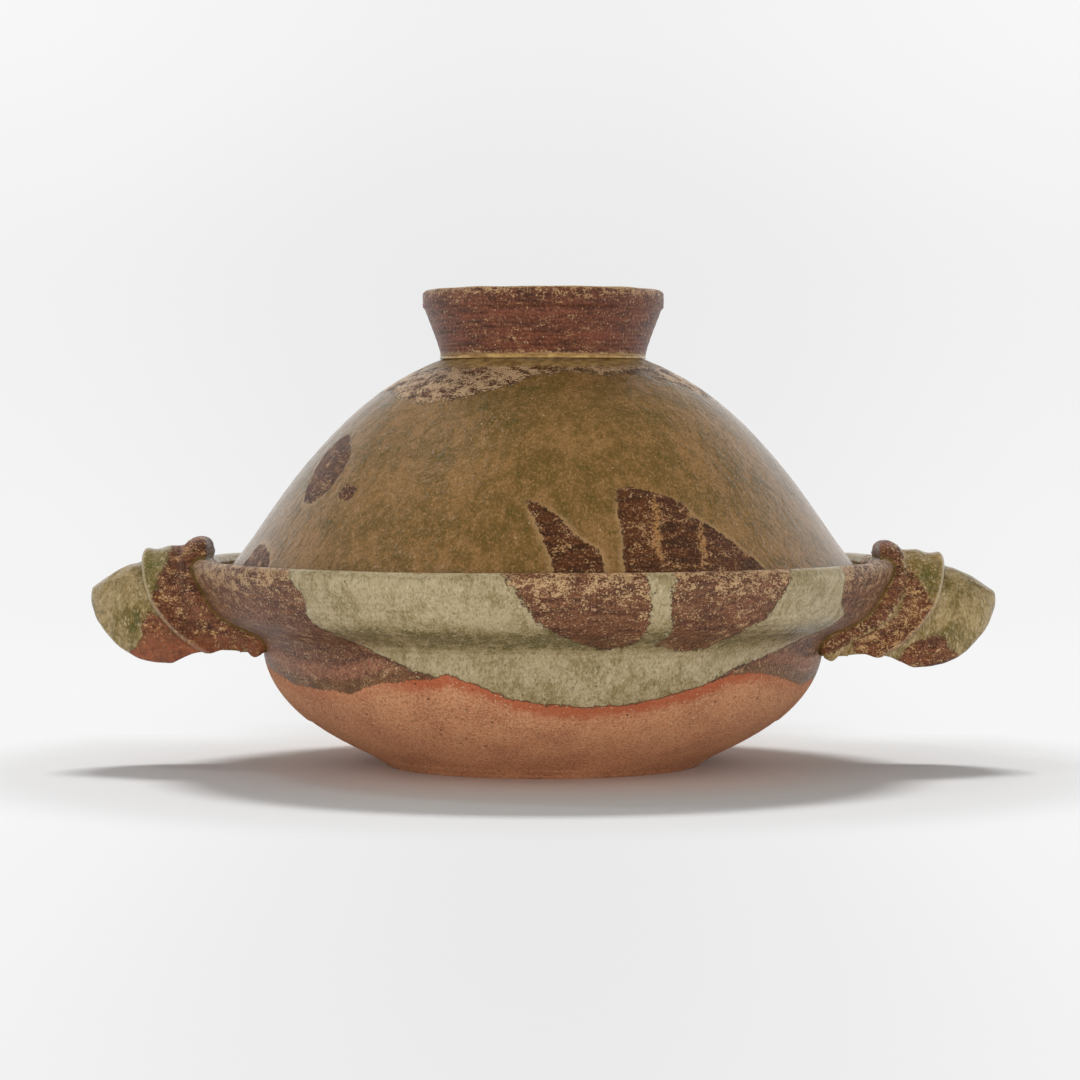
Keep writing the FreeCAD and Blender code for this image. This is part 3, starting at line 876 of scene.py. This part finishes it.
# %% The glazes on the handles
# Outlines in the side view, both handles read as the right one: out from the axis, and height
brown_places = {
    ("right", "hood"): [
        (139.7, 43.3), (144.2, 47.2), (148.6, 50.4), (154.5, 52.4), (158.7, 51.4), (159.9, 48.5),
        (163.4, 45.5), (166, 38), (150, 30), (137, 36)],
    ("right", "wrap"): [
        (144.7, 79.3), (147.6, 74.8), (150.6, 70.4), (152.5, 66.4), (157.5, 64), (156, 58), (150.6, 51),
        (142.7, 44), (128, 40), (122, 50), (134, 56), (140, 62.5), (142.5, 68.4), (142.4, 76)],
    ("right", "root_coil"): [
        (128, 96), (140, 88), (142.5, 80), (142, 71), (138, 63), (131, 56.5), (123, 52), (112, 46), (106, 50),
        (115, 70)],
    ("left", "hood"): [
        (155.6, 59), (158.2, 53.7), (157.6, 50.4), (160.2, 46.8), (163.5, 43), (158.9, 36), (147, 32),
        (133.9, 36), (133.9, 50), (147.1, 58)],
    ("left", "wrap"): [
        (146, 92), (148.7, 80.6), (151.3, 75.4), (152.6, 70.1), (153.9, 66.2), (154.3, 62.2), (159, 60),
        (156.9, 50.4), (147, 37), (120.8, 34), (118, 76.7), (130, 98)],
    ("left", "root_coil"): [
        (125, 99), (143, 92), (147, 80), (145, 66), (134, 54), (124, 48), (112, 38), (100, 45), (112, 76)]}
green_places = {
    "right": [(159.2, 55.2), (162.4, 56.6), (165.8, 53.8), (165, 50), (161.4, 49.4), (158.6, 52)],
    "left": [(160.6, 60.6), (164.8, 61), (167, 57.4), (165.2, 53.6), (161.2, 52.8), (159.2, 56.6)]}
wrap_pool = [
    (148.6, 83), (156, 83.5), (158, 78), (157.2, 71), (155, 66.4), (152.6, 66), (150.6, 70.4), (149, 77)]

for (side, part), piece in handle_pieces.items():
    points = places_on(piece)[-1]
    out, up = np.abs(points[:, 0]), points[:, 2] - lift_of[side]
    beside = distance_to(piece, pot_search)
    for other, neighbour in handle_pieces.items():
        if other != (side, part) and other[0] == side:
            beside = np.minimum(
                beside, distance_to(piece, search_of(neighbour)) + (0.8 if part == "wrap" else 0.4))
    edge = {
        "hood": np.full(len(out), far_outside), "wrap": side_distance(wrap_edge, points, lift_of[side]),
        "root_coil": side_distance(coil_edge, points, lift_of[side])}[part]
    brown = distance_inside(rounded_loop(brown_places[side, part]), out, up)
    pool = distance_inside(rounded_loop(wrap_pool if part == "wrap" else green_places[side]), out, up)
    write_values(piece, brown=brown, pool=pool, seam=beside, edge=edge, level=up)
    print(side, part, "points in the brown:", int((brown > 0).sum()))

# %% [markdown]
# ## The surfaces
# Each material only says where a glaze lies and how thick it is. The groups above decide what
# it looks like there. Glaze stands a little proud of the clay, so every edge is also a small
# step in the bump.

# %% Put a surface together
def begin(name):
    material = bpy.data.materials.new(name)
    material.use_nodes = True
    material.node_tree.nodes.remove(material.node_tree.nodes["Principled BSDF"])
    return material, material.node_tree


def carried(name):
    """A number that the mesh carries."""
    return put("Attribute", {"attribute_name": name}).outputs["Fac"]


def complete(material, colour, roughness, height, depth):
    """The shader itself: colour, gloss, and a bump. A height of 1 rises by depth millimetres."""
    bump = put("Bump", Strength=1.0, Distance=depth * mm, Height=height)
    surface = put("BsdfPrincipled", Base_Color=colour, Roughness=roughness, Normal=bump.outputs["Normal"])
    surface.inputs["Specular IOR Level"].default_value = 0.4
    feed(tree.nodes["Material Output"].inputs["Surface"], surface.outputs["BSDF"])
    print("material:", material.name)
    return material


def edge_of(name, wobble, fray, softness, band):
    """The ragged edge of the outline whose distances the mesh carries under this name."""
    return place_group(
        ragged_edge, Distance=carried(name), Wobble=wobble, Fray=fray, Softness=softness, Band=band)


def over(mask, under, top):
    """One surface laid over another: colour, roughness and height follow the mask."""
    return {
        "Colour": blend(mask, under["Colour"], top["Colour"]),
        "Roughness": between(mask, under["Roughness"], top["Roughness"]),
        "Height": between(mask, under["Height"], top["Height"])}


def as_parts(outputs):
    return {name: outputs[name] for name in ("Colour", "Roughness", "Height")}


# %% The pot's material
pot_material, tree = begin("pot glazes over clay")
level = carried("level")
from_bare = carried("bare")
in_ash = carried("ash")
bare_edge = edge_of("bare", wobble=1.0, fray=0.8, softness=0.3, band=3.0)
ash_edge = edge_of("ash", wobble=1.4, fray=1.0, softness=0.3, band=2.2)
window_edge = edge_of("window", wobble=1.2, fray=1.7, softness=0.3, band=2.0)
ash_here = times(ash_edge["Inside"], maths("SUBTRACT", 1.0, window_edge["Inside"]))

at_rim = ramp(level, 66, 82)
crowding = between(at_rim, 0.22, 0.66)
iron = place_group(
    iron_glaze, Brown=(122, 78, 50), Dark=(86, 50, 32), Mustard=(190, 150, 102), Warm=(142, 84, 58),
    Freckles=crowding, Cluster=3.2, Sand=0.34)
iron = as_parts(iron)
# Low down the iron wears thin: first the clay's own colour shows, and then an olive dust of ash
off_ash = ramp(in_ash, -0.5, -4.0)
thin = times(ramp(from_bare, -12.0, -9.0), ramp(from_bare, -3.0, -6.5))
patchy = ramp(cloud(millimetres(), 1.6, 4.0, 0.65), 0.42, 0.58, 0.2, 0.85)
clay = as_parts(place_group(bare_clay, Clay=(172, 108, 76), Shade=(138, 84, 60)))
iron["Colour"] = blend(times(times(thin, off_ash), patchy), iron["Colour"], clay["Colour"])
dusted = times(times(ramp(from_bare, -6.0, -2.5), off_ash), patchy)
iron["Colour"] = tint(iron["Colour"], dusted, 0.6, (128, 96, 54))

pooled = times(ramp(level, 64, 58), ramp(level, 50, 56))
low = ramp(level, 50, 40)
thickness = times_plus(pooled, 0.75, times_plus(low, 0.14, 0.24))
ash = place_group(
    ash_glaze, Thin=(180, 162, 124), Thick=(148, 130, 88), Green=(100, 90, 48), Pale=(198, 184, 152),
    Depth=thickness, Curdle=0.85, Dots=between(low, 0.10, 0.60))
by_ash = ramp(in_ash, -14.0, -2.0, 0.25, 1.0)
ragged = times_plus(maths("SUBTRACT", cloud(millimetres(), 3.0, 5.0, 0.65), 0.5), 9.0, from_bare)
flush = times_plus(ramp(ragged, 6.2, 2.0), 0.92, ramp(from_bare, 9.0, 1.0, 0.0, 0.15))
clay = place_group(bare_clay, Flush=times(flush, by_ash))

dressed = over(ash_here, iron, ash)
dressed["Height"] = maths("ADD", times_plus(ash_here, 1.4, dressed["Height"]), 0.8)
whole = over(bare_edge["Inside"], dressed, clay)
gathered = times(ramp(carried("seam"), 1.4, 0.4), 0.75)
whole["Colour"] = blend(gathered, whole["Colour"], (118, 100, 48))
rings = place_group(throwing_lines, Spacing=2.3)["Height"]
rings = times(rings, ramp(from_bare, -2.0, -14.0))
relief = times_plus(rings, 0.7, whole["Height"])
complete(pot_material, whole["Colour"], whole["Roughness"], relief, depth=0.26)

# %% The lid's material
lid_material, tree = begin("lid ash glaze with brown windows")
level = carried("level")
window_edge = edge_of("window", wobble=1.0, fray=1.1, softness=0.2, band=2.8)
streak_edge = edge_of("streak", wobble=1.0, fray=2.2, softness=0.3, band=1.5)
crown_edge = edge_of("crown", wobble=2.2, fray=2.6, softness=0.4, band=3.0)
brown_here = maths("MAXIMUM", window_edge["Inside"], crown_edge["Inside"])
ash = place_group(
    ash_glaze, Thin=(150, 112, 66), Thick=(118, 90, 46), Green=(84, 78, 34), Pale=(178, 138, 90),
    Depth=ramp(level, 80, 150, 0.36, 0.48), Curdle=0.75, Dots=0.16)
halo = times(times(window_edge["Edge"], 0.7), ramp(level, 112, 100))
ash_colour = blend(halo, ash["Colour"], (184, 146, 100))
broken = between(crown_edge["Inside"], 0.28, 0.72)
# Inside the crown band the mustard turns paler, towards a pale pinkish buff
crown_mustard = blend(crown_edge["Inside"], (180, 128, 72), (212, 172, 128))
iron = place_group(
    iron_glaze, Brown=(96, 52, 20), Dark=(66, 36, 10), Mustard=crown_mustard, Warm=(112, 60, 28),
    Freckles=broken, Cluster=3.8, Sand=0.10)
crumbs = ramp(cloud(millimetres(), 0.9, 3.0, 0.6), 0.40, 0.54)
iron_colour = tint(iron["Colour"], times(streak_edge["Inside"], crumbs), 0.85, (190, 140, 84))
whole = over(
    brown_here, {"Colour": ash_colour, "Roughness": ash["Roughness"], "Height": ash["Height"]},
    {"Colour": iron_colour, "Roughness": iron["Roughness"], "Height": iron["Height"]})
welt = ramp(times_plus(cloud(millimetres(), 5.0, 3.0), 3.0, level), 159.0, 160.2)
mustard = blend(
    ramp(cloud(millimetres((0.6, 0.6, 1.2)), 2.0, 4.0, 0.6), 0.4, 0.6), (186, 150, 92), (140, 106, 58))
colour = blend(welt, whole["Colour"], mustard)
relief = times_plus(maths("SUBTRACT", 1.0, brown_here), 1.4, whole["Height"])
complete(lid_material, colour, whole["Roughness"], relief, depth=0.24)

# %% The knob's and the neck's materials
knob_material, tree = begin("knob iron glaze")
level = put("SeparateXYZ", Vector=millimetres()).outputs["Z"]
lip = ramp(level, 183.0, 188.5)
root = ramp(level, 166, 163.8)
crowding = maths("MAXIMUM", times(lip, 0.60), times(root, 0.5))
iron = place_group(
    iron_glaze, Brown=(120, 68, 46), Dark=(80, 44, 30), Mustard=(184, 138, 88), Warm=(132, 74, 54),
    Freckles=crowding, Cluster=3.2, Sand=0.26)
red_lines = ramp(cloud(millimetres((0.12, 0.12, 1.0)), 2.6, 3.0, 0.6), 0.50, 0.62)
red_lines = times(times(red_lines, 0.3), ramp(level, 185, 179))
iron_colour = blend(red_lines, iron["Colour"], (142, 76, 54))
shaken = times_plus(cloud(millimetres(), 1.4, 4.0, 0.7), 3.0, level)
welt = maths("MAXIMUM", ramp(shaken, 165.6, 164.4), ramp(shaken, 190.2, 190.7))
iron_colour = blend(welt, iron_colour, (186, 150, 96))
rings = place_group(throwing_lines, Spacing=1.7)["Height"]
relief = times_plus(rings, 0.9, iron["Height"])
complete(knob_material, iron_colour, iron["Roughness"], relief, depth=0.26)

neck_material, tree = begin("pooled glaze in the neck")
place = millimetres((0.6, 0.6, 1.2))
mottle = cloud(place, 2.6, 4.0, 0.6)
colour = blend(ramp(mottle, 0.38, 0.62), (206, 168, 104), (160, 120, 66))
complete(neck_material, colour, ramp(mottle, 0.3, 0.7, 0.12, 0.24), mottle, depth=0.3)

# %% The handles' materials
def handle_surface(name, ash_colours, brown, dark, freckles, warmth, lip=0.0):
    """Ash glaze with brown breaking through, green pools, and yellow-green glaze gathered in the seams."""
    global tree
    material, tree = begin(name)
    level = carried("level")
    pool = edge_of("pool", wobble=1.4, fray=0.8, softness=1.6, band=2.0)
    depth = times_plus(pool["Inside"], 0.42, 0.36)
    ash = as_parts(
        place_group(
            ash_glaze, **dict(zip(("Thin", "Thick", "Green"), ash_colours)), Pale=(196, 176, 136),
            Depth=depth, Curdle=1.0, Dots=0.12))
    rim = times(ramp(carried("edge"), 1.6, 0.7), ramp(carried("edge"), -1.2, -0.2))
    rim = times(rim, ramp(level, 48, 66, 0.4 * lip, lip))
    iron = as_parts(
        place_group(
            iron_glaze, Brown=brown, Dark=dark, Mustard=(198, 150, 90), Freckles=freckles, Cluster=3.2,
            Sand=0.28))
    warm = times(ramp(level, 54, 46), warmth)
    iron["Colour"] = blend(
        warm, iron["Colour"],
        blend(ramp(cloud(millimetres(), 2.0, 3.0, 0.6), 0.4, 0.6), (164, 92, 58), (122, 70, 46)))
    brown_edge = edge_of("brown", wobble=1.4, fray=1.8, softness=0.4, band=2.0)
    whole = over(brown_edge["Inside"], ash, iron)
    whole["Colour"] = blend(rim, whole["Colour"], (200, 180, 144))
    seam = carried("seam")
    gathered = times(ramp(seam, 1.6, 0.5), 0.7)
    whole["Colour"] = blend(gathered, whole["Colour"], (128, 108, 54))
    whole["Roughness"] = between(gathered, whole["Roughness"], 0.16)
    folds = cloud(millimetres((0.75, 0.4, 0.55)), 5.0, 2.0, 0.5, 0.5)
    relief = times_plus(folds, 9.0, whole["Height"])
    return complete(material, whole["Colour"], whole["Roughness"], relief, depth=0.24)


olive = ((168, 144, 98), (118, 98, 48), (88, 84, 38))
# The ash glaze where it is thin, thick and green, the two browns, how far the brown has broken to
# mustard, how warm it is low down, and how pale the lip of the wrap
handle_glazes = {
    ("right", "hood"): (olive, (126, 74, 42), (86, 48, 26), 0.20, 0.0),
    ("right", "wrap"): (
        ((176, 142, 98), (136, 110, 60), (100, 92, 44)), (132, 82, 52), (90, 52, 32), 0.46, 0.0, 0.6),
    ("right", "root_coil"): (
        ((176, 146, 100), (138, 110, 64), (96, 84, 42)), (126, 76, 48), (84, 48, 28), 0.34, 0.1),
    ("left", "hood"): (olive, (144, 82, 48), (102, 58, 34), 0.24, 0.6),
    ("left", "wrap"): (
        ((160, 136, 94), (126, 110, 60), (100, 94, 46)), (128, 78, 50), (84, 48, 30), 0.30, 0.5, 0.5),
    ("left", "root_coil"): (
        ((160, 132, 88), (126, 100, 54), (96, 84, 42)), (128, 76, 48), (82, 47, 28), 0.30, 0.5)}
dressed = [(pot, pot_material), (dome, lid_material), (knob, knob_material), (neck, neck_material)]
for (side, part), values in handle_glazes.items():
    name = side + " " + part.replace("root_", "") + " glaze"
    dressed.append((handle_pieces[side, part], handle_surface(name, *values)))
for piece, material in dressed:
    piece.data.materials.clear()
    piece.data.materials.append(material)

# %% [markdown]
# ## Floor and light
# The pot stands on a white sweep in a bright room. One lamp hangs above and behind it and draws
# the shadow towards the viewer. A wide low one in front lights the side that is seen, right down
# to the foot, while it only grazes the floor. Away from the shadow the paper is as bright as the
# room's own white, so that no horizon shows. A glaze mirrors the room: white behind and beside
# the pot, dimmer on the viewer's side, and one small bright window high on the left.

# %% Floor
floor_radius, paper_white = 1.6, 0.85
bpy.ops.mesh.primitive_circle_add(vertices=96, radius=floor_radius, fill_type="NGON", location=(0, 0, 0))
floor = bpy.context.object
floor.name = "floor"
paper = bpy.data.materials.new("white floor")
paper.use_nodes = True
tree = paper.node_tree
surface = tree.nodes["Principled BSDF"]
surface.inputs["Base Color"].default_value = (paper_white, paper_white, paper_white, 1)
surface.inputs["Roughness"].default_value = 0.85
surface.inputs["Specular IOR Level"].default_value = 0.2
white = (1, 1, 1, 1)
place = put("TexCoord").outputs["Object"]
away = put("VectorMath", {"operation": "LENGTH"}, Vector=place).outputs["Value"]
part_of = put("SeparateXYZ", Vector=place).outputs
from_shadow = put(
    "VectorMath", {"operation": "LENGTH"},
    Vector=put(
        "CombineXYZ", X=maths("DIVIDE", part_of["X"], 0.20),
        Y=maths("DIVIDE", maths("ADD", part_of["Y"], 0.02), 0.19)).outputs["Vector"])
behind = times(ramp(part_of["Y"], 0.06, 0.14), ramp(maths("ABSOLUTE", part_of["X"]), 0.08, 0.15))
evenly = times(
    maths("MAXIMUM", behind, ramp(from_shadow.outputs["Value"], 0.98, 1.32)),
    put("LightPath").outputs["Is Camera Ray"])
glow = put("Emission", Color=white, Strength=ramp(maths("ABSOLUTE", part_of["X"]), 0.0, 0.21, 0.82, 0.925))
lit = choose(evenly, surface.outputs["BSDF"], glow.outputs["Emission"])
fading = choose(ramp(away, 0.42, 1.25), lit, put("BsdfTransparent").outputs["BSDF"])
feed(tree.nodes["Material Output"].inputs["Surface"], fading)
floor.data.materials.append(paper)
print("floor radius, m:", floor_radius)

# %% Lamps
lit_point = Vector((0, 0, 0.09))   # half way up the pot


def lamp(name, size, power, place, mirrored=True):
    """A rectangular lamp of the given width and height, which faces the middle of the pot."""
    data = bpy.data.lights.new(name, "AREA")
    data.shape = "RECTANGLE"
    data.size, data.size_y = size
    data.energy = power
    light = bpy.data.objects.new(name, data)
    bpy.context.scene.collection.objects.link(light)
    light.location = place
    light.rotation_euler = (lit_point - Vector(place)).to_track_quat("-Z", "Y").to_euler()
    light.visible_glossy = mirrored
    print("lamp:", name, "watts:", power)


lamp("above and behind", (1.1, 0.6), 100.0, (0, 2.1, 3.5), mirrored=False)
lamp("low front", (2.6, 0.3), 16.5, (0, -1.8, 0.12), mirrored=False)
lamp("small window", (0.12, 0.12), 0.8, (-0.60, 0.16, 1.16))

# %% The room
world = bpy.data.worlds.new("room")
world.use_nodes = True
bpy.context.scene.world = world
tree = world.node_tree
tree.nodes.clear()
look = put("SeparateXYZ", Vector=put("TexCoord").outputs["Generated"]).outputs
upward = ramp(look["Z"], 0.035, 0.12, 0.0, 0.05)
downward = ramp(look["Z"], 0.035, -0.09, 0.0, 0.03)
sideways_white = ramp(maths("ABSOLUTE", look["X"]), 0.01, 0.16, 0.83, 0.885)
backdrop = maths("ADD", maths("ADD", upward, downward), sideways_white)
viewer_side = ramp(look["Y"], -0.95, 0.1, 0.22, 1.0)
ceiling = ramp(look["Z"], 0.25, 0.8, 1.0, 0.08)
mirrored = maths("MINIMUM", viewer_side, ceiling)
seen = put("Background", Color=white, Strength=backdrop).outputs["Background"]
shiny = put("Background", Color=white, Strength=mirrored).outputs["Background"]
fill = put("Background", Color=white, Strength=0.42).outputs["Background"]
ray = put("LightPath").outputs
reflected = maths("MAXIMUM", ray["Is Glossy Ray"], ray["Is Transmission Ray"])
light = choose(ray["Is Camera Ray"], choose(reflected, fill, shiny), seen)
out = tree.nodes.new("ShaderNodeOutputWorld")
feed(out.inputs["Surface"], light)
